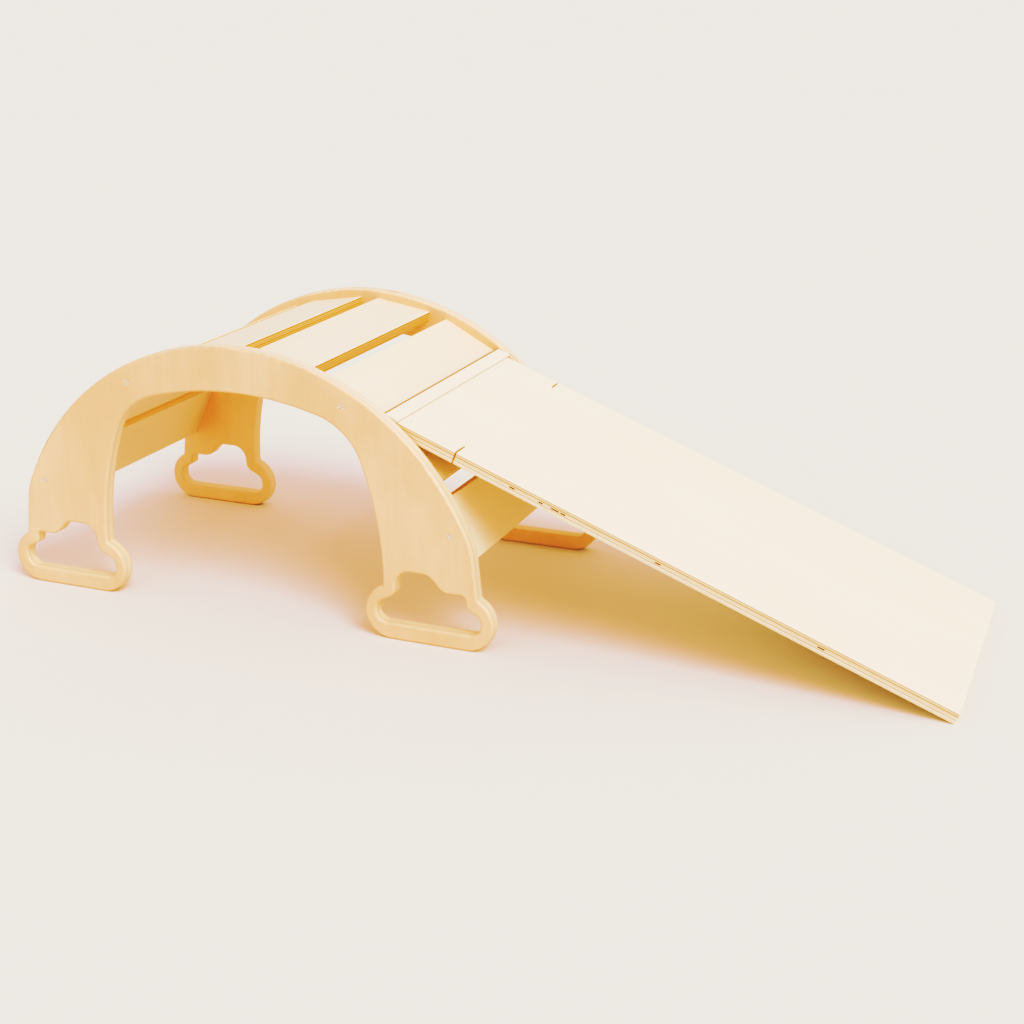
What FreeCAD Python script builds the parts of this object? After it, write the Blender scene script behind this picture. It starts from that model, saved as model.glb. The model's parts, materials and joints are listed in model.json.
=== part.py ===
import FreeCAD, Part
import math
import os
import Sketcher
from FreeCAD import Placement, Rotation, Vector

# A toddler's climbing arch with a slide board hooked over it, all birch plywood.
# Millimetres and degrees. +X runs down the slide, +Y across it to the far panel, +Z is up.
# The origin is on the floor, under the middle of the whole object.

os.makedirs("parts", exist_ok=True)
doc = FreeCAD.newDocument("toddler_slide")

# ---------------------------------------------------------------- driving dimensions
DIMENSIONS = {
    "panel_thickness": 18.0,
    "panel_radius": 320.0,           # rim of the arch
    "rim_centre_height": 7.0,
    "crown_depth": 53.6,             # wood over the opening, at the top
    "crown_radius": 400.0,           # top of the opening
    "haunch_radius": 80.0,           # upper corners of the opening
    "shoulder_radius": 100.0,        # where the rim turns into the legs
    "leg_splay": 6.0,                # outer side of a leg, from vertical
    "leg_inset": 10.8,               # outer side of a leg, inside the rim's circle
    "leg_depth": 132.7,              # inner side of a leg, inside the rim's circle
    "leg_inner_radius": 400.0,
    "waist_height": 70.0,            # where the inner side of a leg is upright
    "foot_overhang": 4.0,            # tip of a foot, outside the rim's circle
    "foot_length": 160.0,
    "foot_height": 66.0,
    "notch_radius": 4.0,             # where the legs meet the feet
    "panel_round": 3.0,              # rounded edges of the panels
    "cloud_rail": 19.5,              # wood under the cloud cut-outs
    "cloud_inner_side": 14.0,        # wood beside them
    "cloud_outer_side": 15.5,
    "cloud_height": 66.0,
    "inner_width": 340.0,            # between the panels
    "slat_inset": 12.0,              # slats lie this far inside the rim
    "slat_thickness": 14.5,
    "slat_pitch": 18.65,
    "end_slat_pitch": 18.0,          # from the lowest slats to their neighbours
    "slat_gap": 19.2,                # between the inner edges of two slats
    "slat_ease": 1.2,
    "dowel_diameter": 6.0,
    "dowel_length": 30.0,
    "dowel_in_panel": 12.0,
    "dowel_spacing": 50.0,
    "dowel_chamfer": 0.8,
    "hole_spare": 1.0,               # holes are this much deeper than what fills them
    "screw_length": 50.0,
    "screw_shank": 4.5,
    "screw_head": 8.6,
    "screw_tip": 5.0,
    "recess_length": 4.4,
    "recess_width": 1.0,
    "recess_depth": 1.6,
    "slide_angle": 20.92,
    "board_thickness": 14.5,
    "board_near_gap": 1.0,           # beside the near panel
    "board_far_gap": 9.0,
    "board_ease": 1.2,
    "rest_clearance": 0.4,           # between the board and the slat under it
    "board_tuck": 4.0,               # how deep that slat sits in the bevel of the board's upper end
    "kerf_width": 2.2,
    "kerf_length": 25.0,
    "kerf_distance": 76.0,           # from the cleat to the saw cuts
    "cleat_clearance": 0.6,          # between the cleat and the slats beside it
    "cleat_drop": 20.0,              # how far the cleat reaches below the slats
    "cleat_end_gap": 1.0,            # between the cleat and the panels
    "cleat_proud": 1.5,              # how far it stands above the board
    "cleat_ease": 1.0,
    "cleat_dowel_diameter": 5.0,
    "cleat_dowel_length": 28.0,
    "cleat_dowel_in_cleat": 11.0,
    "cleat_dowel_spacing": 120.0,
}
sheet = doc.addObject("Spreadsheet::Sheet", "Dims")
for row, (alias, value) in enumerate(DIMENSIONS.items(), start=1):
    sheet.set("A%d" % row, alias)
    sheet.set("B%d" % row, str(value))
    sheet.setAlias("B%d" % row, alias)
doc.recompute()


def dim(alias):
    """Value of one cell of the sheet."""
    return float(sheet.get(alias))


def cell(expression):
    """An expression in which every alias is read from the sheet."""
    words = expression.split()
    return " ".join("Dims." + word if word in DIMENSIONS else word for word in words)


def bind(obj, **expressions):
    """Bind properties of an object to expressions on the sheet."""
    for prop, expression in expressions.items():
        obj.setExpression(prop, cell(expression))


# ---------------------------------------------------------------- derived places
Y_AXIS = Vector(0, 1, 0)
SLAT_COUNT = 8
SCREWED_SLATS = (0, 2, 5, 7)
HOOK_GAP = 2                         # the cleat hangs two pitches from the top

rim_radius = dim("panel_radius")
rim_height = dim("rim_centre_height")
pitch = math.radians(dim("slat_pitch"))
end_pitch = math.radians(dim("end_slat_pitch"))
upper_angles = [(i - (SLAT_COUNT - 1) / 2) * pitch for i in range(1, SLAT_COUNT - 1)]
slat_angles = [upper_angles[0] - end_pitch] + upper_angles + [upper_angles[-1] + end_pitch]
slat_top = rim_radius - dim("slat_inset")
slat_bottom = slat_top - dim("slat_thickness")
slat_middle = (slat_top + slat_bottom) / 2
half_slat = (slat_bottom * math.sin(pitch / 2) - dim("slat_gap") / 2) / math.cos(pitch / 2)
half_cleat = dim("slat_gap") / 2 - dim("cleat_clearance")


def turned(x, z, angle):
    """A point of the arch's section, turned about the rim's centre."""
    return Vector(x * math.cos(angle) + z * math.sin(angle), 0, z * math.cos(angle) - x * math.sin(angle))


# the board rests on the slat below the hook, in a bevel parallel to that slat's face, and its
# low end on the floor
slope = math.radians(dim("slide_angle"))
gap_angle = HOOK_GAP * pitch
up_board = Vector(-math.cos(slope), 0, math.sin(slope))
board_normal = Vector(math.sin(slope), 0, math.cos(slope))
slat_angle = gap_angle + pitch / 2
slat_normal = turned(0, 1, slat_angle)
ease = dim("slat_ease")
rest_edge = turned(ease - half_slat, slat_top - ease, slat_angle) + Vector(0, 0, rim_height)
underside = board_normal.dot(rest_edge) + ease + dim("rest_clearance") - dim("board_tuck")
corner_loss = dim("board_ease") * (math.sin(slope) + math.cos(slope) - 1)
low_x = (underside + corner_loss * math.cos(slope)) / math.sin(slope)
low_corner = Vector(low_x, 0, -corner_loss)


def board_end(height):
    """Length of the board at a height above its underside, up to the cleat's face."""
    start = low_corner + board_normal * height - Vector(0, 0, rim_height)
    across = turned(1, 0, gap_angle)
    return (half_cleat - across.dot(start)) / across.dot(up_board)


def bevel_end(height):
    """Length of the board at a height above its underside, up to the bevel over the slat."""
    start = low_corner + board_normal * height - Vector(0, 0, rim_height)
    return (slat_top + dim("rest_clearance") - slat_normal.dot(start)) / slat_normal.dot(up_board)


def cleat_top(offset):
    """Height of the cleat's top along the gap, at an offset across it, parallel to the board."""
    start = turned(offset, 0, gap_angle) + Vector(0, 0, rim_height)
    top_plane = underside + dim("board_thickness") + dim("cleat_proud")
    return (top_plane - board_normal.dot(start)) / board_normal.dot(turned(0, 1, gap_angle))


foot_tip = rim_radius + dim("foot_overhang")
board_tip = low_x + dim("board_thickness") * math.sin(slope) - corner_loss
arch_foot = Vector((foot_tip - board_tip) / 2, 0, 0)
arch_centre = arch_foot + Vector(0, 0, rim_height)


# ---------------------------------------------------------------- sketch helpers
def new_body(label):
    """An empty body with a label."""
    body = doc.addObject("PartDesign::Body", label)
    body.Label = label
    return body


def plane_of(body, role):
    """One of a body's own origin planes."""
    return next(f for f in body.Origin.OriginFeatures if f.Role == role)


def new_sketch(body, name, role, height="0"):
    """A sketch on an origin plane, lifted along the plane's normal."""
    sketch = body.newObject("Sketcher::SketchObject", name)
    sketch.AttachmentSupport = [(plane_of(body, role), "")]
    sketch.MapMode = "FlatFace"
    sketch.setExpression("AttachmentOffset.Base.z", cell(height))
    return sketch


def add_arc(sketch, centre, start, end):
    """A counter-clockwise arc about a centre, between two points."""
    first = math.atan2(start[1] - centre[1], start[0] - centre[0])
    last = math.atan2(end[1] - centre[1], end[0] - centre[0])
    if last <= first:
        last += 2 * math.pi
    radius = math.hypot(start[0] - centre[0], start[1] - centre[1])
    circle = Part.Circle(Vector(centre[0], centre[1], 0), Vector(0, 0, 1), radius)
    return sketch.addGeometry(Part.ArcOfCircle(circle, first, last), False)


def add_line(sketch, start, end):
    """A straight edge."""
    return sketch.addGeometry(Part.LineSegment(Vector(*start, 0), Vector(*end, 0)), False)


def place(sketch, geometry, point, x, y):
    """Fix a point of the sketch by its distances from the origin."""
    sketch.addConstraint(Sketcher.Constraint("DistanceX", -1, 1, geometry, point, x))
    sketch.addConstraint(Sketcher.Constraint("DistanceY", -1, 1, geometry, point, y))


def measure(sketch, expression, *constraint):
    """Add a dimension to a sketch and bind it to the sheet."""
    index = sketch.addConstraint(Sketcher.Constraint(*constraint))
    sketch.setExpression("Constraints[%d]" % index, cell(expression))


def polygon_sketch(sketch, points):
    """A closed outline of straight edges through fixed corners."""
    lines = [add_line(sketch, start, end) for start, end in zip(points, points[1:] + points[:1])]
    for before, line, point in zip(lines[-1:] + lines[:-1], lines, points):
        sketch.addConstraint(Sketcher.Constraint("Coincident", before, 2, line, 1))
        place(sketch, line, 1, *point)


def circle_sketch(sketch, centres, diameter):
    """Equal circles at fixed places."""
    for i, centre in enumerate(centres):
        circle = Part.Circle(Vector(*centre, 0), Vector(0, 0, 1), dim(diameter) / 2)
        sketch.addGeometry(circle, False)
        place(sketch, i, 3, *centre)
        measure(sketch, diameter, "Diameter", i, dim(diameter))


def rounded_sketch(sketch, corners):
    """A closed counter-clockwise outline of (x, y, radius) corners, each turned by a tangent arc."""
    ends = []
    for i, (x, y, radius) in enumerate(corners):
        here = Vector(x, y, 0)
        back = (Vector(*corners[i - 1][:2], 0) - here).normalize()
        ahead = (Vector(*corners[(i + 1) % len(corners)][:2], 0) - here).normalize()
        half = back.getAngle(ahead) / 2
        centre = here + (back + ahead).normalize() * (radius / math.sin(half))
        entry = here + back * (radius / math.tan(half))
        leave = here + ahead * (radius / math.tan(half))
        convex = back.cross(ahead).z < 0
        first, last = (entry, leave) if convex else (leave, entry)
        add_arc(sketch, centre, first, last)
        place(sketch, i, 3, centre.x, centre.y)
        sketch.addConstraint(Sketcher.Constraint("Radius", i, radius))
        ends.append((entry, leave, 1 if convex else 2))
    for i, (entry, leave, entry_point) in enumerate(ends):
        following = (i + 1) % len(ends)
        line = add_line(sketch, leave[:2], ends[following][0][:2])
        sketch.addConstraint(Sketcher.Constraint("Tangent", i, 3 - entry_point, line, 1))
        sketch.addConstraint(Sketcher.Constraint("Tangent", line, 2, following, ends[following][2]))


def extrude(body, kind, name, sketch, length=None):
    """Pad or pocket a sketch by a bound length, or through everything."""
    before = body.Shape.Volume if body.Shape.Solids else 0
    feature = body.newObject("PartDesign::" + kind, name)
    feature.Profile = sketch
    if length is None:
        feature.Type = "ThroughAll"
    else:
        feature.setExpression("Length", cell(length))
    doc.recompute()
    grown = body.Shape.Volume - before
    if (grown > 0) != (kind == "Pad"):
        raise RuntimeError("%s of %s changed the volume by %.1f" % (name, body.Label, grown))
    return feature


def mirror(body, name, feature, role):
    """Mirror a feature in one of the body's origin planes."""
    before = body.Shape.Volume
    mirrored = body.newObject("PartDesign::Mirrored", name)
    mirrored.Originals = [feature]
    mirrored.MirrorPlane = (plane_of(body, role), [""])
    body.Tip = mirrored
    doc.recompute()
    if abs(body.Shape.Volume - before) < 1:
        raise RuntimeError("%s of %s changed nothing" % (name, body.Label))
    return mirrored


def round_edges(body, name, kind, chosen, **size):
    """Fillet or chamfer the edges of the tip that a test picks."""
    base = body.Tip
    names = ["Edge%d" % (i + 1) for i, edge in enumerate(base.Shape.Edges) if chosen(edge)]
    feature = body.newObject("PartDesign::" + kind, name)
    feature.Base = (base, names)
    bind(feature, **size)
    doc.recompute()
    return feature


def runs_along(edge, direction):
    """True for a straight edge along a direction."""
    if edge.Curve.TypeId != "Part::GeomLine":
        return False
    return abs(abs(edge.Curve.Direction.dot(direction)) - 1) < 1e-6


def middle(edge):
    """Point halfway along an edge."""
    return edge.valueAt((edge.FirstParameter + edge.LastParameter) / 2)


# ---------------------------------------------------------------- side panels
INNER_FACE = "inner_width / 2"
OUTER_FACE = "inner_width / 2 + panel_thickness"
DOWEL_HOLE_FLOOR = "inner_width / 2 + dowel_in_panel + hole_spare"


def line_meets_circle(point, direction, centre, radius):
    """Where a line going along a direction leaves a circle."""
    offset = point - centre
    along = offset.dot(direction)
    return point + direction * (math.sqrt(along ** 2 + radius ** 2 - offset.dot(offset)) - along)


def circles_meet(first, first_radius, second, second_radius):
    """The crossing of two circles that lies on the left, going from the first to the second."""
    between = second - first
    distance = between.Length
    along = (distance ** 2 + first_radius ** 2 - second_radius ** 2) / (2 * distance)
    aside = math.sqrt(first_radius ** 2 - along ** 2)
    unit = between / distance
    return first + unit * along + Vector(-unit.y, unit.x, 0) * aside


def half_panel_outline(sketch):
    """Half of the panel's outline, on the side of the slide, with its corners still sharp."""
    foot_radius = dim("foot_height") / 2
    rim = Vector(0, rim_height, 0)
    outer_lobe = Vector(foot_tip - foot_radius, foot_radius, 0)
    inner_lobe = outer_lobe - Vector(dim("foot_length") - 2 * foot_radius, 0, 0)
    leg = Vector(rim_radius - dim("leg_depth") - dim("leg_inner_radius"), dim("waist_height"), 0)
    crown_z = rim_height + rim_radius - dim("crown_depth")
    crown = Vector(0, crown_z - dim("crown_radius"), 0)

    splay = math.radians(dim("leg_splay"))
    leg_up = Vector(-math.sin(splay), math.cos(splay), 0)
    on_leg = rim + Vector(math.cos(splay), math.sin(splay), 0) * (rim_radius - dim("leg_inset"))
    shoulder = line_meets_circle(on_leg, leg_up, rim, rim_radius)
    outer_notch = line_meets_circle(on_leg, leg_up, outer_lobe, foot_radius)
    inner_notch = circles_meet(leg, dim("leg_inner_radius"), inner_lobe, foot_radius)
    haunch = circles_meet(leg, dim("leg_inner_radius"), crown, dim("crown_radius"))
    top = Vector(0, rim_height + rim_radius, 0)

    axis_edge = add_line(sketch, (0, crown_z), (0, top.y))
    rim_arc = add_arc(sketch, rim, shoulder, top)
    leg_edge = add_line(sketch, outer_notch[:2], shoulder[:2])
    outer_arc = add_arc(sketch, outer_lobe, (outer_lobe.x, 0), outer_notch)
    sole = add_line(sketch, (outer_lobe.x, 0), (inner_lobe.x, 0))
    inner_arc = add_arc(sketch, inner_lobe, inner_notch, (inner_lobe.x, 0))
    leg_arc = add_arc(sketch, leg, inner_notch, haunch)
    crown_arc = add_arc(sketch, crown, haunch, (0, crown_z))

    for constraint in (
        ("PointOnObject", axis_edge, 1, -2),
        ("PointOnObject", axis_edge, 2, -2),
        ("PointOnObject", rim_arc, 3, -2),
        ("PointOnObject", crown_arc, 3, -2),
        ("Coincident", axis_edge, 2, rim_arc, 2),
        ("Coincident", rim_arc, 1, leg_edge, 2),
        ("Coincident", leg_edge, 1, outer_arc, 2),
        ("Tangent", outer_arc, 1, sole, 1),
        ("Tangent", sole, 2, inner_arc, 2),
        ("Coincident", inner_arc, 1, leg_arc, 1),
        ("Coincident", leg_arc, 2, crown_arc, 1),
        ("Coincident", crown_arc, 2, axis_edge, 1),
    ):
        sketch.addConstraint(Sketcher.Constraint(*constraint))

    measure(sketch, "panel_radius", "Radius", rim_arc, rim_radius)
    measure(sketch, "rim_centre_height", "DistanceY", -1, 1, rim_arc, 3, rim_height)
    measure(sketch, "90 + leg_splay", "Angle", leg_edge, math.pi / 2 + splay)
    measure(sketch, "panel_radius - leg_inset", "Distance",
            rim_arc, 3, leg_edge, rim_radius - dim("leg_inset"))
    measure(sketch, "foot_height / 2", "Radius", outer_arc, foot_radius)
    measure(sketch, "foot_height / 2", "Radius", inner_arc, foot_radius)
    measure(sketch, "foot_height / 2", "DistanceY", -1, 1, outer_arc, 3, foot_radius)
    measure(sketch, "foot_height / 2", "DistanceY", -1, 1, inner_arc, 3, foot_radius)
    measure(sketch, "panel_radius + foot_overhang - foot_height / 2", "DistanceX",
            -1, 1, outer_arc, 3, outer_lobe.x)
    measure(sketch, "foot_length - foot_height", "DistanceX",
            inner_arc, 3, outer_arc, 3, outer_lobe.x - inner_lobe.x)
    measure(sketch, "leg_inner_radius", "Radius", leg_arc, dim("leg_inner_radius"))
    measure(sketch, "leg_inner_radius + leg_depth - panel_radius", "DistanceX", leg_arc, 3, -1, 1, -leg.x)
    measure(sketch, "waist_height", "DistanceY", -1, 1, leg_arc, 3, leg.y)
    measure(sketch, "crown_radius", "Radius", crown_arc, dim("crown_radius"))
    measure(sketch, "crown_radius + crown_depth - panel_radius - rim_centre_height", "DistanceY",
            crown_arc, 3, -1, 1, -crown.y)
    return shoulder, outer_notch, inner_notch, haunch


def cloud_corners():
    """Corners of the cloud-shaped cut-out of a foot, each with its radius."""
    left = foot_tip - dim("foot_length") + dim("cloud_inner_side")
    right = foot_tip - dim("cloud_outer_side")
    low = dim("cloud_rail")
    high = low + dim("cloud_height")
    return [
        (left, low, 13),
        (right, low, 13),
        (right, low + 23.5, 11),
        (right - 17, low + 31.5, 5),
        (right - 19, low + 47, 6),
        (right - 46.5, low + 46.5, 18),
        (left + 66, high, 16),
        (left + 26.5, high, 19),
        (left + 23.5, low + 35, 12),
        (left, low + 23.5, 12),
    ]


def slat_places(indices, *offsets):
    """Places across the middle of some slats, in the section of the arch."""
    spots = [turned(x, slat_middle, slat_angles[i]) for i in indices for x in offsets]
    return [(spot.x, spot.z + rim_height) for spot in spots]


half_spacing = dim("dowel_spacing") / 2
dowel_places = slat_places(range(SLAT_COUNT), -half_spacing, half_spacing)
screw_places = slat_places(SCREWED_SLATS, 0)


def stands_at(corners):
    """A test for the upright edges of the panel at some corners or their mirror images."""
    def test(edge):
        if not runs_along(edge, Y_AXIS):
            return False
        spot = middle(edge)
        return any(math.hypot(abs(spot.x) - c.x, spot.z - c.y) < 0.5 for c in corners)
    return test


def on_panel_face(edge):
    """True for the edges of the panel's two flat faces."""
    inner = dim("inner_width") / 2
    outer = inner + dim("panel_thickness")
    depths = [-edge.valueAt(t).y for t in (edge.FirstParameter, edge.LastParameter)] + [-middle(edge).y]
    return any(all(abs(depth - face) < 1e-4 for depth in depths) for face in (inner, outer))


def make_panel():
    body = new_body("side_panel_near")
    outline = new_sketch(body, "panel_outline", "XZ_Plane", INNER_FACE)
    shoulder, outer_notch, inner_notch, haunch = half_panel_outline(outline)
    half = extrude(body, "Pad", "panel_half", outline, "panel_thickness")
    mirror(body, "panel_whole", half, "YZ_Plane")
    round_edges(body, "shoulders", "Fillet", stands_at([shoulder]), Radius="shoulder_radius")
    round_edges(body, "haunches", "Fillet", stands_at([haunch]), Radius="haunch_radius")
    round_edges(body, "notches", "Fillet", stands_at([outer_notch, inner_notch]), Radius="notch_radius")
    cloud = new_sketch(body, "cloud_outline", "XZ_Plane", OUTER_FACE)
    rounded_sketch(cloud, cloud_corners())
    cut = extrude(body, "Pocket", "cloud", cloud)
    mirror(body, "clouds", cut, "YZ_Plane")
    round_edges(body, "panel_rounds", "Fillet", on_panel_face, Radius="panel_round")

    sockets = new_sketch(body, "dowel_sockets", "XZ_Plane", DOWEL_HOLE_FLOOR)
    circle_sketch(sockets, dowel_places, "dowel_diameter")
    extrude(body, "Pocket", "dowel_holes", sockets)
    spots = new_sketch(body, "screw_spots", "XZ_Plane", OUTER_FACE)
    circle_sketch(spots, screw_places, "screw_shank")
    doc.recompute()
    before = body.Shape.Volume
    holes = body.newObject("PartDesign::Hole", "screw_holes")
    holes.Profile = spots
    doc.recompute()
    holes.Threaded = False
    holes.DepthType = "ThroughAll"
    holes.HoleCutType = "Countersink"
    holes.HoleCutCountersinkAngle = 90
    bind(holes, Diameter="screw_shank", HoleCutDiameter="screw_head")
    doc.recompute()
    if body.Shape.Volume >= before:
        raise RuntimeError("the screw holes cut nothing")
    body.Placement = Placement(arch_foot, Rotation())
    return body


def mirrored_copy(label, source):
    """The same piece on the far side."""
    copy = doc.addObject("Part::Mirroring", label)
    copy.Label = label
    copy.Source = source
    copy.Normal = Y_AXIS
    return copy


# ---------------------------------------------------------------- what holds the slats
def make_slat_dowels():
    """Sixteen dowels, as one group."""
    body = new_body("slat_dowels_near")
    body.AllowCompound = True
    ends = new_sketch(body, "dowel_ends", "XZ_Plane", "inner_width / 2 - dowel_length + dowel_in_panel")
    circle_sketch(ends, dowel_places, "dowel_diameter")
    extrude(body, "Pad", "dowels", ends, "dowel_length")
    round_edges(body, "dowel_chamfers", "Chamfer", lambda edge: edge.Closed, Size="dowel_chamfer")
    body.Placement = Placement(arch_foot, Rotation())
    return body


def make_screw(number, placement):
    """A countersunk screw with a cross recess, its head at the placement's origin."""
    name = "screw_%d_" % number
    head = doc.addObject("Part::Cone", name + "head")
    bind(head, Radius1="screw_head / 2", Radius2="screw_shank / 2", Height="( screw_head - screw_shank ) / 2")
    shank = doc.addObject("Part::Cylinder", name + "shank")
    bind(shank, Radius="screw_shank / 2", Height="screw_length - screw_tip")
    tip = doc.addObject("Part::Cone", name + "tip")
    tip.Radius2 = 0
    bind(tip, Radius1="screw_shank / 2", Height="screw_tip")
    tip.setExpression("Placement.Base.z", cell("screw_length - screw_tip"))
    solid = doc.addObject("Part::MultiFuse", name + "solid")
    solid.Shapes = [head, shank, tip]
    slots = []
    for long_side, short_side in (("Length", "Width"), ("Width", "Length")):
        slot = doc.addObject("Part::Box", name + "slot_" + long_side.lower())
        bind(slot, **{long_side: "recess_length", short_side: "recess_width", "Height": "recess_depth"})
        base = {"Length": "x", "Width": "y"}
        slot.setExpression("Placement.Base." + base[long_side], cell("- recess_length / 2"))
        slot.setExpression("Placement.Base." + base[short_side], cell("- recess_width / 2"))
        slots.append(slot)
    cross = doc.addObject("Part::MultiFuse", name + "cross")
    cross.Shapes = slots
    screw = doc.addObject("Part::Cut", name + "screw")
    screw.Base = solid
    screw.Tool = cross
    screw.Placement = placement
    return screw


def group(label, pieces):
    """Several separate pieces as one sub-part."""
    compound = doc.addObject("Part::Compound", label)
    compound.Label = label
    compound.Links = pieces
    return compound


def make_panel_screws():
    inward = Rotation(Vector(1, 0, 0), -90)
    outer = dim("inner_width") / 2 + dim("panel_thickness")
    heads = [Placement(arch_foot + Vector(x, -outer, z), inward) for x, z in screw_places]
    return group("panel_screws_near", [make_screw(i, head) for i, head in enumerate(heads, start=1)])


# ---------------------------------------------------------------- slats
def make_slat(index):
    body = new_body("slat_%d" % (index + 1))
    section = new_sketch(body, "slat_section", "XZ_Plane", "- inner_width / 2")
    polygon_sketch(section, [(-half_slat, slat_bottom), (half_slat, slat_bottom),
                             (half_slat, slat_top), (-half_slat, slat_top)])
    extrude(body, "Pad", "slat_blank", section, "inner_width")
    round_edges(body, "slat_eases", "Fillet", lambda edge: runs_along(edge, Y_AXIS), Radius="slat_ease")
    fixings = [("dowel", (-half_spacing, half_spacing), "dowel_length - dowel_in_panel + hole_spare")]
    if index in SCREWED_SLATS:
        fixings.append(("screw", (0,), "screw_length - panel_thickness + hole_spare"))
    diameters = {"dowel": "dowel_diameter", "screw": "screw_shank"}
    for name, offsets, depth in fixings:
        spots = new_sketch(body, name + "_spots", "XZ_Plane", INNER_FACE)
        circle_sketch(spots, [(x, slat_middle) for x in offsets], diameters[name])
        holes = extrude(body, "Pocket", name + "_holes_near", spots, depth)
        mirror(body, name + "_holes_both", holes, "XZ_Plane")
    body.Placement = Placement(arch_centre, Rotation(Y_AXIS, math.degrees(slat_angles[index])))
    return body


# ---------------------------------------------------------------- slide board and its hook
board_width = dim("inner_width") - dim("board_near_gap") - dim("board_far_gap")
board_near_edge = dim("board_near_gap") - dim("inner_width") / 2
board_length = board_end(dim("board_thickness"))
bevel_growth = bevel_end(1) - bevel_end(0) - board_end(1) + board_end(0)
bevel_height = (board_end(0) - bevel_end(0)) / bevel_growth
cleat_dowel_height = (bevel_height + dim("board_thickness")) / 2
board_placement = Placement(
    arch_foot + low_corner + Vector(0, board_near_edge, 0), Rotation(Y_AXIS, dim("slide_angle"))
)
gap_placement = Placement(arch_centre, Rotation(Y_AXIS, math.degrees(gap_angle)))
cleat_offsets = [i * dim("cleat_dowel_spacing") for i in (-1, 0, 1)]


def make_cleat_dowels(prefix, spare):
    """Three dowels along the board, from inside it into the cleat, or the holes for them."""
    dowels = []
    for i, offset in enumerate(cleat_offsets, start=1):
        dowel = doc.addObject("Part::Cylinder", "%s_%d" % (prefix, i))
        bind(dowel, Radius="cleat_dowel_diameter / 2", Height="cleat_dowel_length + " + spare + " + " + spare)
        start = dim("cleat_dowel_length") - dim("cleat_dowel_in_cleat") - board_end(cleat_dowel_height)
        start += dim("hole_spare") if spare != "0" else 0
        spot = Vector(start, board_width / 2 + offset, cleat_dowel_height)
        dowel.Placement = board_placement * Placement(spot, Rotation(Y_AXIS, -90))
        dowels.append(dowel)
    return dowels


def drilled(label, blank, holes):
    """A blank with the dowel holes cut out of it."""
    cut = doc.addObject("Part::Cut", label)
    cut.Label = label
    cut.Base = blank
    cut.Tool = holes
    return cut


def make_board_blank():
    body = new_body("board_blank")
    side = new_sketch(body, "board_side", "XZ_Plane", "board_near_gap + board_far_gap - inner_width")
    thickness = dim("board_thickness")
    polygon_sketch(side, [(0, 0), (0, thickness), (-board_length, thickness),
                          (-board_end(bevel_height), bevel_height), (-bevel_end(0), 0)])
    extrude(body, "Pad", "board_plank", side, "inner_width - board_near_gap - board_far_gap")
    round_edges(body, "board_eases", "Fillet", lambda edge: middle(edge).x > 1 - bevel_end(0),
                Radius="board_ease")
    kerfs = new_sketch(body, "kerf_outlines", "XY_Plane", "board_thickness")
    kerf_x = dim("kerf_distance") - board_length
    half_kerf = dim("kerf_width") / 2
    overrun = 1
    far_end = board_width - dim("kerf_length")
    for low, high in ((-overrun, dim("kerf_length")), (far_end, board_width + overrun)):
        polygon_sketch(kerfs, [(kerf_x - half_kerf, low), (kerf_x + half_kerf, low),
                               (kerf_x + half_kerf, high), (kerf_x - half_kerf, high)])
    extrude(body, "Pocket", "kerfs", kerfs)
    body.Placement = board_placement
    return body


def make_cleat_blank():
    body = new_body("cleat_blank")
    side = new_sketch(body, "cleat_side", "XZ_Plane", "cleat_end_gap - inner_width / 2")
    low = slat_bottom - dim("cleat_drop")
    board_side_top = cleat_top(half_cleat)
    polygon_sketch(side, [(-half_cleat, low), (half_cleat, low), (half_cleat, board_side_top),
                          (-half_cleat, cleat_top(-half_cleat))])
    extrude(body, "Pad", "cleat_strip", side, "inner_width - 2 * cleat_end_gap")

    def eased(edge):
        spot = middle(edge)
        meets_board = spot.x > 0 and spot.z > board_side_top - 1
        return runs_along(edge, Y_AXIS) and not meets_board

    round_edges(body, "cleat_eases", "Fillet", eased, Radius="cleat_ease")
    body.Placement = gap_placement
    return body


# ---------------------------------------------------------------- the whole object
near_panel = make_panel()
near_dowels = make_slat_dowels()
near_screws = make_panel_screws()
nodes = [near_panel, near_dowels, near_screws]
nodes += [mirrored_copy("side_panel_far", near_panel)]
nodes += [mirrored_copy("slat_dowels_far", near_dowels)]
nodes += [mirrored_copy("panel_screws_far", near_screws)]
nodes += [make_slat(i) for i in range(SLAT_COUNT)]
dowel_holes = group("cleat_dowel_holes", make_cleat_dowels("cleat_dowel_hole", "hole_spare"))
nodes += [drilled("slide_board", make_board_blank(), dowel_holes)]
nodes += [drilled("hook_cleat", make_cleat_blank(), dowel_holes)]
nodes += [group("cleat_dowels", make_cleat_dowels("cleat_dowel", "0"))]
doc.recompute()

for obj in doc.Objects:
    if "Invalid" in obj.State or "Error" in obj.State:
        raise RuntimeError("%s failed: %s" % (obj.Name, obj.State))
for node in nodes:
    if node.Shape.isNull() or not node.Shape.isValid():
        raise RuntimeError("%s has no valid shape" % node.Label)
for node in nodes:
    node.Shape.exportStep("parts/%s.step" % node.Label)
    box = node.Shape.BoundBox
    low = (box.XMin, box.YMin, box.ZMin)
    high = (box.XMax, box.YMax, box.ZMax)
    print("%-18s %2d solids %9.0f mm3" % (node.Label, len(node.Shape.Solids), node.Shape.Volume),
          " ".join("%7.1f" % value for value in low + high))
print("slide reach %.2f, arch middle at x %.3f" % (low_x, arch_foot.x))
print("cleat %.2f thick, bevel %.2f high" % (2 * half_cleat, bevel_height))
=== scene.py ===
import json
import math

import bpy
from mathutils import Matrix, Vector


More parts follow.
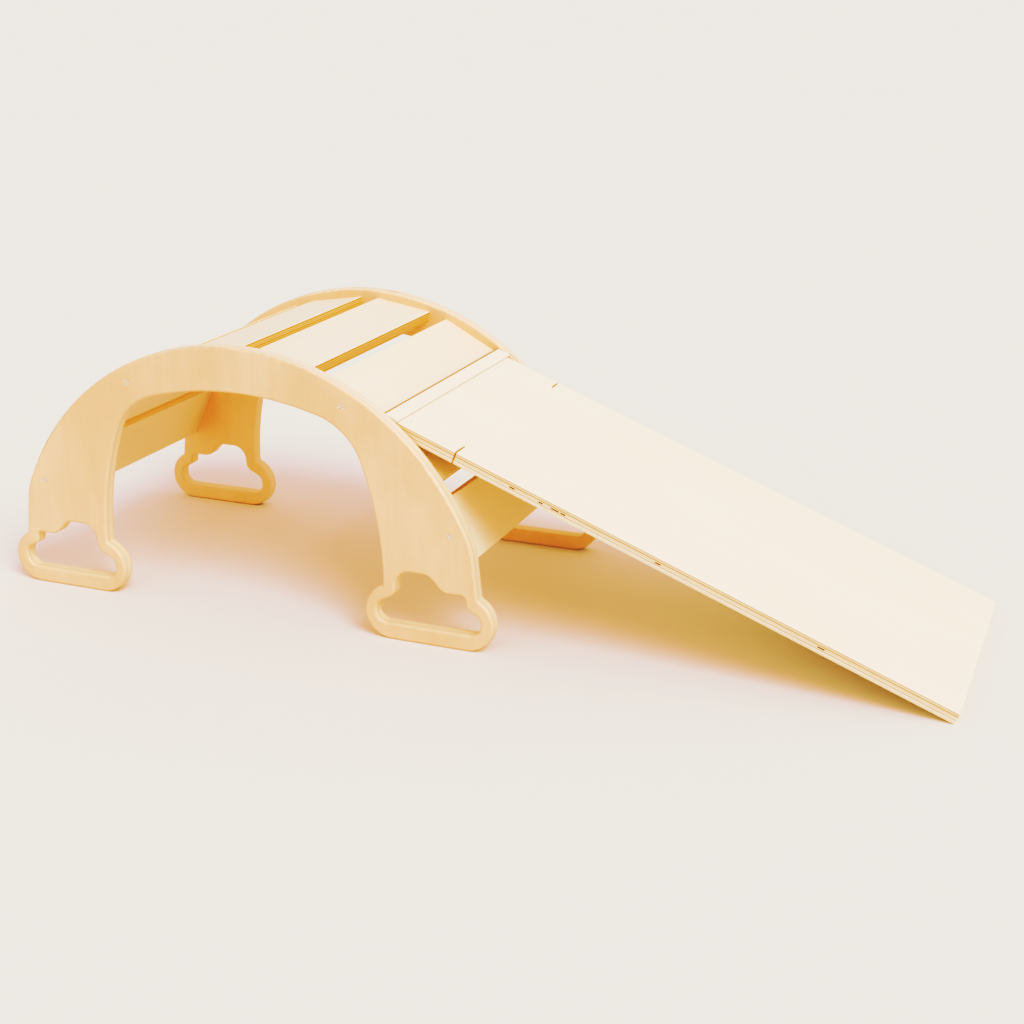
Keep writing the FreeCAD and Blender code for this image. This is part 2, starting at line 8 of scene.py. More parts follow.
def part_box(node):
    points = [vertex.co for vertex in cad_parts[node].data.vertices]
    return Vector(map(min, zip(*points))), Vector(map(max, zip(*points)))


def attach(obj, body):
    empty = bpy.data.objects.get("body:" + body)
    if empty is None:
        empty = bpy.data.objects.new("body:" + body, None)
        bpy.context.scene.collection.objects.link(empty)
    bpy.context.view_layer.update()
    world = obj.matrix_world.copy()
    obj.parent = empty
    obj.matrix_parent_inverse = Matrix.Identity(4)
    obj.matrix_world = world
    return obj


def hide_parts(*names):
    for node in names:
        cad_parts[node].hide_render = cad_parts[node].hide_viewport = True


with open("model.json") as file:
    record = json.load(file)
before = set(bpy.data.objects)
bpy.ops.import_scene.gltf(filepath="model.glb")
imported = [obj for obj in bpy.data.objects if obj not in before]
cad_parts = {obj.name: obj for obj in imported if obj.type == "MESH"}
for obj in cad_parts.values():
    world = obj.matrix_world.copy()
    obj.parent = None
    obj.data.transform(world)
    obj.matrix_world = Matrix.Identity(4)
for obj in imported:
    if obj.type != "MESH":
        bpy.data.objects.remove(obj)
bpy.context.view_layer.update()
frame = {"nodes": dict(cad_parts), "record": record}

# A toddler's climbing arch and slide board in lacquered birch plywood. Metres.
# The wood keeps its own meshes and gets solid plywood, cut through ply by ply.

scene = bpy.context.scene

# where things are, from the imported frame
soles = [mount["pos_m"] for mount in frame["record"]["mounts"]]
archX = sum(sole[0] for sole in soles) / len(soles)
archLayout = {
    "rimHeight": 0.007,       # centre of the arch above the floor
    "slatCount": 8,
    "slatPitch": math.radians(18.65),
    "endPitch": math.radians(18.0),    # from the lowest slats to their neighbours
    "slatBottom": 0.2935,     # inner faces of the slats, from the centre
    "gapPitches": 2,          # the cleat hangs this many pitches from the top
    "boardSlope": math.radians(20.92),
    "plyThickness": 0.0145,   # slats and board come from the same sheet
}
archCentre = Vector((archX, 0, archLayout["rimHeight"]))
boardLow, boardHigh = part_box("slide_board")
lean = archLayout["plyThickness"] * math.sin(archLayout["boardSlope"])    # of the board's low end
boardFoot = Vector((boardHigh.x - lean, boardLow.y, 0))


def slatAngle(index):
    # from upright, with the lowest slats a little closer to their neighbours
    last = archLayout["slatCount"] - 1
    angle = (index - last / 2) * archLayout["slatPitch"]
    closer = archLayout["slatPitch"] - archLayout["endPitch"]
    return angle + closer * ((index == 0) - (index == last))


def outward(angle):
    # the way from the arch's centre to a slat at this angle
    return Vector((math.sin(angle), 0, math.cos(angle)))


# shader helpers
class Wire:
    # a socket that takes part in sums, so that masks and colours read as expressions
    def __init__(self, shader, socket):
        self.shader = shader
        self.socket = socket

    def math(self, operation, *values, clamp=False):
        settings = {"operation": operation, "use_clamp": clamp}
        return self.shader.node("ShaderNodeMath", settings, dict(enumerate(values)))

    def __add__(self, other):
        return self.math("ADD", self, other)

    def __sub__(self, other):
        return self.math("SUBTRACT", self, other)

    def __rsub__(self, other):
        return self.math("SUBTRACT", other, self)

    def __mul__(self, other):
        return self.math("MULTIPLY", self, other)

    def __truediv__(self, other):
        return self.math("DIVIDE", self, other)

    def __mod__(self, other):
        return self.math("MODULO", self, other)

    __radd__ = __add__
    __rmul__ = __mul__

    def size(self):
        return self.math("ABSOLUTE", self)

    def floor(self):
        return self.math("FLOOR", self)

    def atMost(self, other):
        return self.math("MINIMUM", self, other)

    def atLeast(self, other):
        return self.math("MAXIMUM", self, other)

    def fade(self, low, high):
        # 0 at low, 1 at high, smooth between
        settings = {"interpolation_type": "SMOOTHSTEP"}
        values = {"Value": self, "From Min": low, "From Max": high}
        return self.shader.node("ShaderNodeMapRange", settings, values)


class Shader:
    # one material and its nodes
    def __init__(self, name):
        self.material = bpy.data.materials.new(name)
        self.material.use_nodes = True
        self.tree = self.material.node_tree
        self.surface = self.tree.nodes["Principled BSDF"]

    def find(self, sockets, key):
        if isinstance(key, int):
            return sockets[key]
        return next(s for s in sockets if key in (s.identifier, s.name))

    def feed(self, node, values):
        for key, value in values.items():
            socket = self.find(node.inputs, key)
            if isinstance(value, Wire):
                self.tree.links.new(value.socket, socket)
            else:
                socket.default_value = value

    def node(self, kind, settings=None, values=None, out=0):
        made = self.tree.nodes.new(kind)
        for key, value in (settings or {}).items():
            setattr(made, key, value)
        self.feed(made, values or {})
        return Wire(self, self.find(made.outputs, out))

    def finish(self, **values):
        names = {"color": "Base Color", "roughness": "Roughness",
                 "normal": "Normal", "metallic": "Metallic"}
        self.feed(self.surface, {names[key]: value for key, value in values.items()})
        return self.material

    def point(self, x, y, z):
        return self.node("ShaderNodeCombineXYZ", None, {"X": x, "Y": y, "Z": z})

    def noise(self, point, detail=2.0, roughness=0.5):
        values = {"Vector": point, "Scale": 1.0, "Detail": detail, "Roughness": roughness}
        return self.node("ShaderNodeTexNoise", None, values)

    def chance(self, value):
        # a random number for each whole number
        return self.node("ShaderNodeTexWhiteNoise", {"noise_dimensions": "1D"}, {"W": value})

    def scaled(self, scale):
        # the piece's own coordinates, this many cells to the metre
        seen = self.node("ShaderNodeTexCoord", out="Object")
        values = {"Vector": seen, "Scale": scale}
        return self.node("ShaderNodeVectorMath", {"operation": "SCALE"}, values)

    def length(self, vector):
        values = {0: vector}
        return self.node("ShaderNodeVectorMath", {"operation": "LENGTH"}, values, out="Value")

    def mix(self, factor, first, second):
        values = {"Factor_Float": factor, "A_Color": first, "B_Color": second}
        return self.node("ShaderNodeMix", {"data_type": "RGBA"}, values, out="Result_Color")

    def bump(self, height, strength, distance):
        values = {"Height": height, "Strength": strength, "Distance": distance}
        return self.node("ShaderNodeBump", None, values)


def tint(red, green, blue):
    return (red, green, blue, 1.0)


# birch, as solid wood or as plywood
birch = {
    "pale": tint(0.88, 0.77, 0.63),
    "warm": tint(0.83, 0.69, 0.52),
    "figure": 0.5,            # how strongly pale and warm wood alternate
    "grain": 0.10,            # how strongly the fibres show
    "bands": (3.5, 15.0),     # clouds per metre along and across the grain
    "figureCells": (9, 120, 60),         # per metre along, across and into the grain
    "fibreCells": (45, 1300, 900),
    "fleckCells": (260, 1500, 1500),
    "endGrainCells": 1900,
    "streakCells": 25,
    "hollowCells": 23,
    "waver": 0.02,            # how far the figure sways sideways
    "fleckStrength": 0.15,
    "patchStrength": 0.30,
    "faceVeneer": 0.8,        # of a ply, left under the sanded face
    "bothSides": 0.0,         # from the middle to the inner face, where one material serves a pair
    "fleck": tint(0.55, 0.34, 0.17),
    "longPly": tint(0.84, 0.67, 0.46),
    "crossPly": tint(0.68, 0.45, 0.22),
    "glue": tint(0.42, 0.24, 0.10),
    "edgeRough": 0.5,         # how mottled the cut plies are
    # near-black painted shade, in the gaps of a ply edge
    "voidShade": tint(0.025, 0.015, 0.010),
    "knot": tint(0.36, 0.19, 0.08),
    # painted shade beside a joint, for the shadow in its seam
    "rim": tint(0.24, 0.14, 0.08),
    "glueHalf": 0.00012,      # half the thickness of a glue line
    "roughness": 0.46,
    "bumpStrength": 0.3,
    "bumpHeight": 0.0001,
}


def makeBirch(name, place, turn, axes, thickness, plies, look=None, marks=(), pits=(),
              stains=(), rims=()):
    # place and turn put the pattern on the piece
    # axes says which way its grain, its width and its depth run
    colours = dict(birch, **(look or {}))
    shader = Shader(name)
    seen = shader.node("ShaderNodeTexCoord", out="Object")
    values = {"Vector": seen, "Location": place, "Rotation": (0, turn, 0)}
    local = shader.node("ShaderNodeMapping", {"vector_type": "TEXTURE"}, values)
    parts = {axis: shader.node("ShaderNodeSeparateXYZ", None, {"Vector": local}, out=axis)
             for axis in "XYZ"}
    along, across, depth = (parts[axis] for axis in axes)
    if colours["bothSides"]:
        depth = depth.size() - colours["bothSides"]
    seed = sum(ord(letter) for letter in name) * 0.37    # every sheet of wood has its own figure

    # face veneer: slow clouds, a waving figure, fine fibres and short flecks, along the grain
    longBand, wideBand = colours["bands"]
    clouds = shader.noise(shader.point(along * longBand + seed, across * wideBand, depth * wideBand), 3)
    swayed = across + (clouds - 0.5) * colours["waver"]
    long, wide, deep = colours["figureCells"]
    figure = shader.noise(shader.point(along * long, swayed * wide, depth * deep + seed), 4, 0.6)
    long, wide, deep = colours["fibreCells"]
    fibre = shader.noise(shader.point(along * long, swayed * wide, depth * deep + seed), 3, 0.65)
    long, wide, deep = colours["fleckCells"]
    flecks = shader.noise(shader.point(along * long + seed, across * wide, depth * deep), 1)
    flecks = flecks.fade(0.66, 0.80)
    tone = (clouds * 0.8 + figure * 0.3).fade(0.25, 0.85)
    face = shader.mix(tone * colours["figure"], colours["pale"], colours["warm"])
    face = shader.mix(fibre.fade(0.35, 0.75) * colours["grain"], face, colours["longPly"])
    face = shader.mix(flecks * colours["fleckStrength"], face, colours["fleck"])

    # cut edges: long and cross plies in turn, their end grain, and the glue between them
    ply = thickness / plies
    layer = (depth / ply).floor()
    inLayer = depth / ply - layer
    cross = (layer % 2).size()
    own = shader.chance(layer * 1.7 + seed)
    fine = colours["endGrainCells"]
    endGrain = shader.noise(shader.point(along * fine, across * fine, depth * fine + seed), 2, 0.7)
    coarse = colours["streakCells"]
    streaks = shader.noise(shader.point(along * coarse, across * coarse, layer * 7.3 + seed), 3)
    cut = shader.mix(cross * (0.15 + own * own * 0.85), colours["longPly"], colours["crossPly"])
    cut = shader.mix((endGrain - 0.35) * (0.2 + cross * 0.8) * colours["edgeRough"], cut, colours["fleck"])
    cut = shader.mix(streaks.fade(0.45, 0.8) * colours["edgeRough"] * 0.6, cut, colours["crossPly"])
    toGlue = inLayer.atMost(1 - inLayer) * ply
    veneer = ply * colours["faceVeneer"]
    inner = (depth - veneer).atMost(thickness - veneer - depth).fade(0, ply * 0.2)
    bond = shader.chance((depth / ply + 0.5).floor() * 2.3 + seed)    # some glue lines are much darker
    glue = (1 - toGlue.fade(colours["glueHalf"], colours["glueHalf"] * 3.0)) * (0.15 + bond * bond * 1.1)
    glue = glue * (0.6 + streaks * 0.6)
    cut = shader.mix(glue * inner, cut, colours["glue"])
    color = shader.mix(inner, face, cut)

    # gaps left between the veneers of a cross ply, as short dark slots in the edge; the gaps are real,
    # their near-black is painted shade
    loose = colours["hollowCells"]
    wander = shader.noise(shader.point(along * loose + seed, across * loose, layer * 3.1), 1)
    rare = wander.fade(0.74, 0.78) * cross * inner * (own - 0.55).fade(0, 0.05)
    hollow = rare * (inLayer - 0.5).size().fade(0.42, 0.3)
    for spot, level, half in pits:
        span = (along - spot).size().fade(half, half * 0.7)
        hollow = hollow.atLeast(span * (depth - level).size().fade(ply * 0.60, ply * 0.45) * inner)
    color = shader.mix(hollow, color, colours["voidShade"])

    # small knots and pin marks in the face, and soft patches of darker figure
    dents = hollow
    for spot, side, radius, stretch in marks:
        out = shader.point((along - spot) / (radius * stretch), (across - side) / radius, 0.0)
        reach = shader.length(out) + (figure - 0.5) * 0.8
        color = shader.mix(reach.fade(1.9, 0.9) * 0.5, color, colours["fleck"])
        color = shader.mix(reach.fade(1.0, 0.5), color, colours["knot"])
        dents = dents.atLeast(reach.fade(0.9, 0.3))
    for spot, side, radius, stretch in stains:
        out = shader.point((along - spot) / (radius * stretch), (across - side) / radius, 0.0)
        reach = shader.length(out) + (clouds - 0.5) * 1.5
        color = shader.mix(reach.fade(1.2, 0.2) * colours["patchStrength"], color, colours["longPly"])

    for direction, spot, width, shade in rims:    # painted shade: wood darkened beside a joint, out to its end, standing in for the shadow in the seam
        beyond = {"along": along, "across": across}[direction] * math.copysign(1, spot) - abs(spot)
        color = shader.mix(beyond.fade(-width, -width * 0.4) * shade, color, colours["rim"])

    relief = fibre * 0.5 + endGrain * inner * 0.9 + cross * inner * 0.5 - flecks * 0.4
    relief = relief - glue * inner - dents * 6
    rough = colours["roughness"] + fibre * 0.10 + inner * 0.14 + hollow * 0.3
    normal = shader.bump(relief, colours["bumpStrength"], colours["bumpHeight"])
    return shader.finish(color=color, roughness=rough, normal=normal)


def dress(node, material):
    piece = frame["nodes"][node]
    piece.data.materials.clear()
    piece.data.materials.append(material)
    for face in piece.data.polygons:
        face.material_index = 0


# side panels: thick plywood, its face grain upright
panelWood = {
    "thickness": 0.018,
    "plies": 13,
    "innerFace": 0.170,
    "look": {"pale": tint(0.89, 0.61, 0.47), "warm": tint(0.81, 0.51, 0.37), "bands": (9.0, 13.0),
             "longPly": tint(0.91, 0.74, 0.62), "crossPly": tint(0.82, 0.58, 0.42),
             "glue": tint(0.66, 0.42, 0.26), "edgeRough": 0.25, "grain": 0.10, "figure": 0.9},
    "farKnot": (0.205, -0.175, 0.0022, 1.4),    # along, across, radius, stretch
}
panelLook = dict(panelWood["look"], bothSides=panelWood["innerFace"])
for side, marks in (("near", ()), ("far", (panelWood["farKnot"],))):
    dress("side_panel_" + side, makeBirch(
        "panel_birch_" + side, (archX, 0, 0), 0, "ZXY", panelWood["thickness"],
        panelWood["plies"], look=panelLook, marks=marks))
print("panels dressed")

# slats: thinner plywood, each cut from another place in the sheet
slatWood = {
    "plies": 11,
    "look": {"pale": tint(0.89, 0.77, 0.65), "warm": tint(0.84, 0.68, 0.54),
             "longPly": tint(0.98, 0.66, 0.44), "crossPly": tint(0.52, 0.24, 0.10),
             "glue": tint(0.22, 0.10, 0.05), "edgeRough": 0.25, "glueHalf": 0.00016},
    "markedSlat": 2,
    "mark": (-0.105, 0.012, 0.0016, 2.0),
}
for index in range(archLayout["slatCount"]):
    angle = slatAngle(index)
    number = index + 1
    origin = archCentre + outward(angle) * archLayout["slatBottom"]
    marks = (slatWood["mark"],) if number == slatWood["markedSlat"] else ()
    dress("slat_%d" % number, makeBirch(
        "slat_birch_%d" % number, origin, angle, "YXZ", archLayout["plyThickness"],
        slatWood["plies"], look=slatWood["look"], marks=marks))
print("slats dressed")

# slide board, with gaps between the plies of its edge, and the strip that hooks it on
boardWood = {
    "plies": 11,
    "look": {"pale": tint(0.90, 0.82, 0.71), "warm": tint(0.86, 0.75, 0.61),
             "longPly": tint(0.96, 0.81, 0.68), "crossPly": tint(0.62, 0.36, 0.20),
             "glue": tint(0.36, 0.20, 0.10), "edgeRough": 0.2},
    "pinMark": (-0.671, 0.018, 0.0009, 1.0),
    "patch": (-0.060, 0.270, 0.022, 1.6),
    "upperRim": (0.0026, 0.35),    # width and strength of the shade at the upper end
    # painted shade in gaps of the edge: along the board, up from its underside, and half the length
    "pits": [(-0.530, 0.0072, 0.004), (-0.494, 0.0072, 0.003), (-0.476, 0.0072, 0.006),
             (-0.466, 0.0072, 0.0035), (-0.349, 0.0072, 0.004), (-0.155, 0.0072, 0.005)],
}
boardLength = (boardFoot.x - boardLow.x) / math.cos(archLayout["boardSlope"])
dress("slide_board", makeBirch(
    "board_birch", boardFoot, archLayout["boardSlope"], "XYZ", archLayout["plyThickness"],
    boardWood["plies"], look=boardWood["look"], marks=(boardWood["pinMark"],),
    pits=boardWood["pits"], stains=(boardWood["patch"],),
    rims=(("along", -boardLength, *boardWood["upperRim"]),)))

# solid wood is a single ply, far thicker than the piece, that the piece sits in the middle of
solidWood = {"thickness": 1.0, "plies": 1}
# painted shade: the cleat's side towards the slat below, and a strip along it, are darkened for the shadow
# in the gap between them
cleatWood = {"halfWidth": 0.0090, "rim": (0.0014, 0.9)}
gapAngle = archLayout["gapPitches"] * archLayout["slatPitch"]
dress("hook_cleat", makeBirch(
    "cleat_birch", archCentre - outward(gapAngle) * solidWood["thickness"] / 2, gapAngle, "YXZ",
    solidWood["thickness"], solidWood["plies"], look=boardWood["look"],
    rims=(("across", -cleatWood["halfWidth"], *cleatWood["rim"]),)))
for node in ("slat_dowels_near", "slat_dowels_far", "cleat_dowels"):
    dress(node, makeBirch(
        "beech_" + node, archCentre - outward(0) * solidWood["thickness"] / 2, 0, "YXZ",
        solidWood["thickness"], solidWood["plies"]))
print("board, cleat and dowels dressed")


# screws, made once and set out by a node tree
screw = {
    "Head diameter": 0.0082,
    "Shank diameter": 0.0045,
    "Length": 0.050,
    "Tip length": 0.005,
    "Recess width": 0.0015,
    "Recess length": 0.0050,
    "Recess depth": 0.0018,
    "Thread pitch": 0.0020,
    "Thread height": 0.00035,
}
screwShape = {
    "seed": 4,
    "skin": 0.00002,        # below the head's face, where the recess begins
    "core": 0.86,           # of the shank's radius, under the thread
    "threaded": 0.7,        # of the straight length
    "headSides": 48,
    "shankSides": 32,
    "dimpleSides": 24,
    "dimple": 0.40,         # of the recess's length
    "point": 0.0001,
}
screwMetal = {
    "bright": tint(0.95, 0.90, 0.80),
    "dull": tint(0.78, 0.72, 0.60),
    # the recess colours are near-black painted shade, for the shade inside the cross
    "recessBright": tint(0.030, 0.026, 0.022),
    "recessDull": tint(0.015, 0.013, 0.010),
    "blotchCells": 700.0,   # per metre
    "scratchCells": 5200.0,
}


def makeScrewMetal(name, bright, dull):
    shader = Shader(name)
    blotch = shader.noise(shader.scaled(screwMetal["blotchCells"]), 3, 0.6)
    scratch = shader.noise(shader.scaled(screwMetal["scratchCells"]), 2, 0.6)
    color = shader.mix(blotch.fade(0.3, 0.7), bright, dull)
    rough = 0.28 + blotch * 0.2 + scratch * 0.08
    return shader.finish(color=color, metallic=1.0, roughness=rough,
                         normal=shader.bump(blotch + scratch * 0.4, 0.25, 0.00008))


class GeometryTree:
    # a geometry node tree with named inputs
    def __init__(self, name, inputs):
        self.tree = bpy.data.node_groups.new(name, "GeometryNodeTree")
        self.tree.interface.new_socket("Geometry", in_out="INPUT", socket_type="NodeSocketGeometry")
        for key in inputs:
            self.tree.interface.new_socket(key, in_out="INPUT", socket_type="NodeSocketFloat")
        self.tree.interface.new_socket("Material", in_out="INPUT", socket_type="NodeSocketMaterial")
        self.tree.interface.new_socket("Geometry", in_out="OUTPUT", socket_type="NodeSocketGeometry")
        self.start = self.tree.nodes.new("NodeGroupInput")
        self.end = self.tree.nodes.new("NodeGroupOutput")

    def given(self, name):
        return self.start.outputs[name]

    def node(self, kind, settings=None, values=None, out=0):
        made = self.tree.nodes.new(kind)
        for key, value in (settings or {}).items():
            setattr(made, key, value)
        for key, value in (values or {}).items():
            socket = made.inputs[key]
            for item in value if isinstance(value, list) else [value]:
                if isinstance(item, bpy.types.NodeSocket):
                    self.tree.links.new(item, socket)
                else:
                    socket.default_value = item
        return made.outputs[out]

    def math(self, operation, *values):
        return self.node("ShaderNodeMath", {"operation": operation}, dict(enumerate(values)))

    def point(self, x, y, z):
        return self.node("ShaderNodeCombineXYZ", None, {"X": x, "Y": y, "Z": z})

    def shift(self, geometry, vector, turn=(0, 0, 0)):
        values = {"Geometry": geometry, "Translation": vector, "Rotation": turn}
        return self.node("GeometryNodeTransform", None, values)


def makeScrewTree():
    grow = GeometryTree("countersunk_screws", screw)
    headRadius = grow.math("DIVIDE", grow.given("Head diameter"), 2.0)
    shankRadius = grow.math("DIVIDE", grow.given("Shank diameter"), 2.0)
    headDepth = grow.math("SUBTRACT", headRadius, shankRadius)
    straight = grow.math("SUBTRACT", grow.given("Length"), grow.given("Tip length"))

    coreRadius = grow.math("MULTIPLY", shankRadius, screwShape["core"])

    # a cone for the head, with a cross and a dimple cut into it
    head = grow.node("GeometryNodeMeshCone", None, {
        "Vertices": screwShape["headSides"], "Radius Top": headRadius,
        "Radius Bottom": shankRadius, "Depth": headDepth}, "Mesh")
    head = grow.shift(head, grow.point(0.0, 0.0, grow.math("MULTIPLY", headDepth, -1.0)))
    slots = []
    for turn in (0.0, math.pi / 2):
        deep = grow.math("MULTIPLY", grow.given("Recess depth"), 2.0)
        size = grow.point(grow.given("Recess length"), grow.given("Recess width"), deep)
        slot = grow.node("GeometryNodeMeshCube", None, {"Size": size}, "Mesh")
        slots.append(grow.shift(slot, (0, 0, 0), (0, 0, turn)))
    dimple = grow.node("GeometryNodeMeshCone", None, {
        "Vertices": screwShape["dimpleSides"],
        "Radius Top": grow.math("MULTIPLY", grow.given("Recess length"), screwShape["dimple"]),
        "Radius Bottom": 0.0002, "Depth": grow.given("Recess depth")}, "Mesh")
    lower = grow.math("MULTIPLY", grow.given("Recess depth"), -0.98)
    dimple = grow.shift(dimple, grow.point(0.0, 0.0, lower))
    cutters = grow.node("GeometryNodeJoinGeometry", None, {"Geometry": slots + [dimple]})
    head = grow.node("GeometryNodeMeshBoolean", {"operation": "DIFFERENCE", "solver": "EXACT"},
                     {"Mesh 1": head, "Mesh 2": cutters, "Self Intersection": True}, "Mesh")

    # a core, a point and one thread wound round the lower part
    shank = grow.node("GeometryNodeMeshCylinder", None, {
        "Vertices": screwShape["shankSides"], "Radius": coreRadius, "Depth": straight}, "Mesh")
    shank = grow.shift(shank, grow.point(0.0, 0.0, grow.math("MULTIPLY", straight, -0.5)))
    tip = grow.node("GeometryNodeMeshCone", None, {
        "Vertices": screwShape["shankSides"], "Radius Top": coreRadius,
        "Radius Bottom": screwShape["point"], "Depth": grow.given("Tip length")}, "Mesh")
    tip = grow.shift(tip, grow.point(0.0, 0.0, grow.math("MULTIPLY", grow.given("Length"), -1.0)))
    turns = grow.math("DIVIDE", straight, grow.given("Thread pitch"))
    thread = grow.node("GeometryNodeCurveSpiral", None, {
        "Resolution": 20, "Rotations": grow.math("MULTIPLY", turns, screwShape["threaded"]),
        "Start Radius": coreRadius, "End Radius": coreRadius,
        "Height": grow.math("MULTIPLY", straight, screwShape["threaded"])}, "Curve")
    section = grow.node("GeometryNodeCurvePrimitiveCircle", {"mode": "RADIUS"},
                        {"Resolution": 3, "Radius": grow.given("Thread height")}, "Curve")
    thread = grow.node("GeometryNodeCurveToMesh", None,
                       {"Curve": thread, "Profile Curve": section, "Fill Caps": True}, "Mesh")
    thread = grow.shift(thread, grow.point(0.0, 0.0, grow.math("MULTIPLY", straight, -1.0)))
    whole = grow.node("GeometryNodeJoinGeometry", None, {"Geometry": [head, shank, tip, thread]})

    # every point gets one screw, its head outwards, turned by its own chance angle
    side = grow.node("ShaderNodeSeparateXYZ", None, {"Vector": grow.node("GeometryNodeInputPosition")}, "Y")
    tilt = grow.math("MULTIPLY", grow.math("SIGN", side), -math.pi / 2)
    facing = grow.node("FunctionNodeEulerToRotation", None, {"Euler": grow.point(tilt, 0.0, 0.0)})
    points = grow.node("GeometryNodeMeshToPoints", None, {"Mesh": grow.given("Geometry")}, "Points")
    placed = grow.node("GeometryNodeInstanceOnPoints", None,
                       {"Points": points, "Instance": whole, "Rotation": facing}, "Instances")
    spin = grow.node("FunctionNodeRandomValue", {"data_type": "FLOAT"}, None, 1)
    spin.node.inputs[2].default_value = 0.0
    spin.node.inputs[3].default_value = math.pi / 2
    spin.node.inputs["Seed"].default_value = screwShape["seed"]
    twist = grow.node("FunctionNodeEulerToRotation", None, {"Euler": grow.point(0.0, 0.0, spin)})
    placed = grow.node("GeometryNodeRotateInstances", None,
                       {"Instances": placed, "Rotation": twist, "Local Space": True})
    real = grow.node("GeometryNodeRealizeInstances", None, {"Geometry": placed})
    done = grow.node("GeometryNodeSetMaterial", None,
                     {"Geometry": real, "Material": grow.given("Material")})
    grow.tree.links.new(done, grow.end.inputs[0])
    return grow.tree


def bakeTree(name, tree, points, inputs):
    # run a tree on some points and keep the result as a plain mesh
    seed = bpy.data.meshes.new(name + "_points")
    seed.from_pydata(points, [], [])
    holder = bpy.data.objects.new(name + "_points", seed)
    scene.collection.objects.link(holder)
    modifier = holder.modifiers.new("tree", "NODES")
    modifier.node_group = tree
    for item in tree.interface.items_tree:
        if item.in_out == "INPUT" and item.name in inputs:
            modifier[item.identifier] = inputs[item.name]
    bpy.context.view_layer.update()
    grown = holder.evaluated_get(bpy.context.evaluated_depsgraph_get())
    mesh = bpy.data.meshes.new_from_object(grown)
    bpy.data.objects.remove(holder)
    piece = bpy.data.objects.new(name, mesh)
    scene.collection.objects.link(piece)
    return piece


def shadeRecess(mesh, heads, metal, shade):
    # the faces sunk into the cross of each head get the near-black recess material, painted shade
    mesh.materials.clear()
    mesh.materials.append(metal)
    mesh.materials.append(shade)
    deepest = screw["Recess depth"] * 1.1
    widest = screw["Recess length"] * 0.52
    for face in mesh.polygons:
        offsets = [face.center - Vector(head) for head in heads]
        inRecess = any(screwShape["skin"] < abs(away.y) < deepest and math.hypot(away.x, away.z) < widest
                       for away in offsets)
        face.material_index = 1 if inRecess else 0
        face.use_smooth = False


screwedSlats = (0, 2, 5, 7)
slatMiddle = archLayout["slatBottom"] + archLayout["plyThickness"] / 2
headPoints = []
for side in ("near", "far"):
    low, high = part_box("side_panel_" + side)
    faceY = low.y if side == "near" else high.y
    for index in screwedSlats:
        spot = archCentre + outward(slatAngle(index)) * slatMiddle
        headPoints.append((spot.x, faceY, spot.z))
steel = makeScrewMetal("passivated_steel", screwMetal["bright"], screwMetal["dull"])
recessShade = makeScrewMetal("recess_shade", screwMetal["recessBright"], screwMetal["recessDull"])
screws = bakeTree("panel_screws", makeScrewTree(), headPoints, dict(screw, Material=steel))
shadeRecess(screws.data, headPoints, steel, recessShade)
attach(screws, "arch")
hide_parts("panel_screws_near", "panel_screws_far")
print("screws made", len(screws.data.polygons))

# floor, light and camera
studio = {
    "floorColor": tint(0.80, 0.785, 0.77),
    "floorMottle": tint(0.785, 0.775, 0.765),
    "mottleCells": 1.6,       # per metre
    "floorRoughness": 0.85,
    "floorReach": 60.0,
    "skyColor": (1.0, 0.985, 0.96),
    "skyStrength": 0.70,
    "keyFrom": Vector((0.75, -0.60, 0.90)),
    "keyPower": 1.7,
    "keyAngle": math.radians(30),
    "keyColor": (1.0, 0.97, 0.93),
}


def makeFloor():
    reach = studio["floorReach"]
    mesh = bpy.data.meshes.new("floor")
    corners = [(-reach, -reach, 0), (reach, -reach, 0), (reach, reach, 0), (-reach, reach, 0)]
    mesh.from_pydata(corners, [], [(0, 1, 2, 3)])
    floor = bpy.data.objects.new("floor", mesh)
    scene.collection.objects.link(floor)
    shader = Shader("paper_floor")
    mottle = shader.noise(shader.scaled(studio["mottleCells"]), 2)
    color = shader.mix(mottle, studio["floorColor"], studio["floorMottle"])
    mesh.materials.append(shader.finish(color=color, roughness=studio["floorRoughness"]))


def makeLight():
    world = bpy.data.worlds.new("studio")
    world.use_nodes = True
    back = world.node_tree.nodes["Background"]
    back.inputs["Color"].default_value = (*studio["skyColor"], 1)
    back.inputs["Strength"].default_value = studio["skyStrength"]
    scene.world = world
    lamp = bpy.data.lights.new("key", "SUN")
    lamp.energy = studio["keyPower"]
    lamp.angle = studio["keyAngle"]
    lamp.color = studio["keyColor"]
    key = bpy.data.objects.new("key", lamp)
    key.rotation_euler = studio["keyFrom"].to_track_quat("Z", "Y").to_euler()
    scene.collection.objects.link(key)


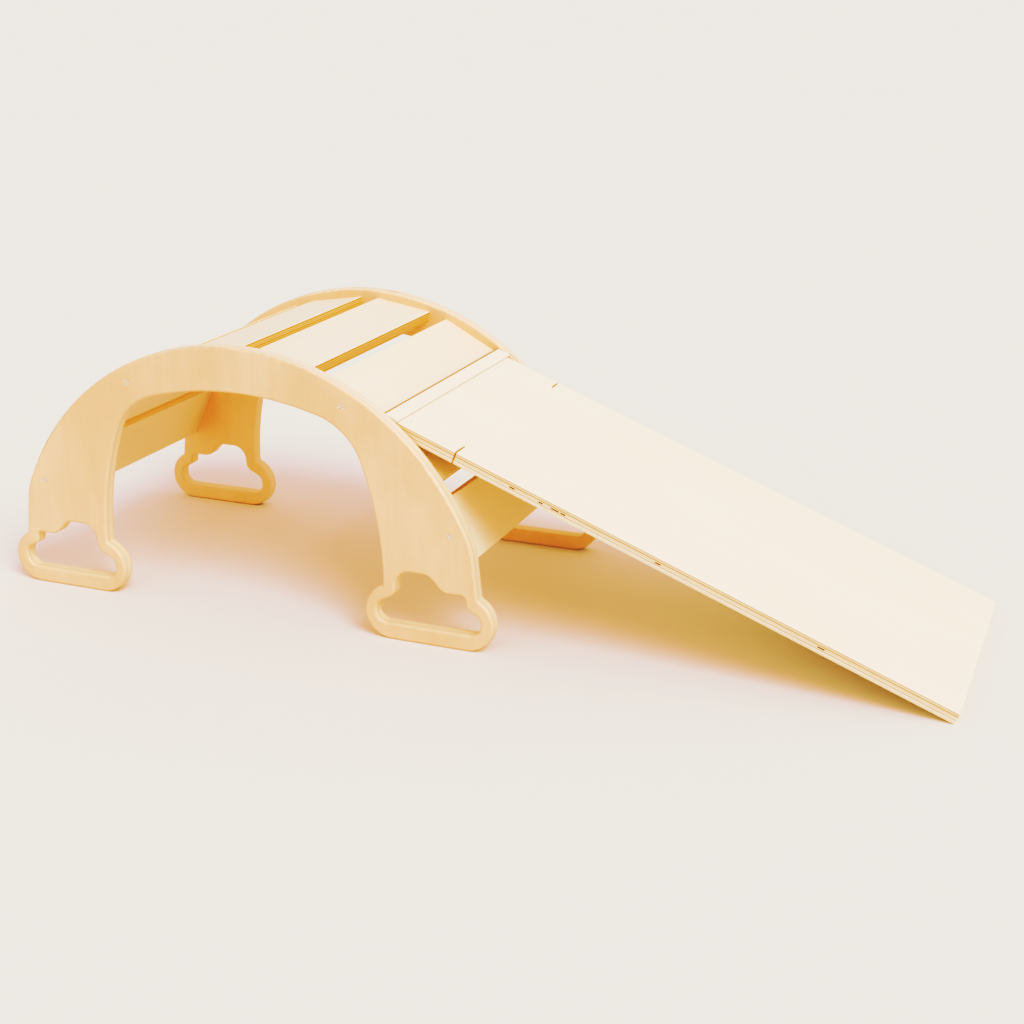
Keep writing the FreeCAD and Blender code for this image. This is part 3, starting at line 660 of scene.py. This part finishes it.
view = {
    "azimuth": math.radians(21.632),
    "elevation": math.radians(19.089),
    "roll": math.radians(0.204),
    "lens": 57.93,
    "sensor": 36,
    "farthest": 200,
    "from": Vector((0.97332, -1.76777, 0.76338)),    # measured from the floor under the arch's centre
}


def makeCamera():
    azimuth, elevation, roll = view["azimuth"], view["elevation"], view["roll"]
    level = math.cos(elevation)
    ahead = Vector((-math.sin(azimuth) * level, math.cos(azimuth) * level, -math.sin(elevation)))
    right = Vector((math.cos(azimuth), math.sin(azimuth), 0))
    up = right.cross(ahead)
    tiltedRight = right * math.cos(roll) + up * math.sin(roll)
    tiltedUp = up * math.cos(roll) - right * math.sin(roll)
    lens = bpy.data.cameras.new("camera")
    lens.lens = view["lens"]
    lens.sensor_width = view["sensor"]
    lens.clip_end = view["farthest"]
    camera = bpy.data.objects.new("camera", lens)
    turn = Matrix((tiltedRight, tiltedUp, -ahead)).transposed().to_4x4()
    place = view["from"] + Vector((archX, 0, 0))
    camera.matrix_world = Matrix.Translation(place) @ turn
    scene.collection.objects.link(camera)
    scene.camera = camera


# the view's tone curves: shade goes golden, light stays near white
tone = {
    "red": [(0.06, 0.05), (0.15, 0.20), (0.30, 0.55), (0.42, 0.71), (0.60, 0.78), (0.83, 0.84),
            (1.0, 0.91)],
    "green": [(0.06, 0.03), (0.15, 0.10), (0.22, 0.23), (0.28, 0.36), (0.40, 0.47), (0.55, 0.60),
              (0.68, 0.73), (0.80, 0.81), (1.0, 0.88)],
    "blue": [(0.06, 0.01), (0.15, 0.02), (0.21, 0.06), (0.30, 0.16), (0.40, 0.32), (0.50, 0.50),
             (0.62, 0.68), (0.77, 0.77), (1.0, 0.95)],
}


def makeTone():
    settings = scene.view_settings
    settings.view_transform = "Standard"
    settings.use_curve_mapping = True
    for curve, stops in zip(settings.curve_mapping.curves, tone.values()):
        curve.points[1].location = stops[-1]
        for stop in stops[:-1]:
            curve.points.new(*stop)
    settings.curve_mapping.update()


makeFloor()
makeLight()
makeCamera()
makeTone()
print("studio set")
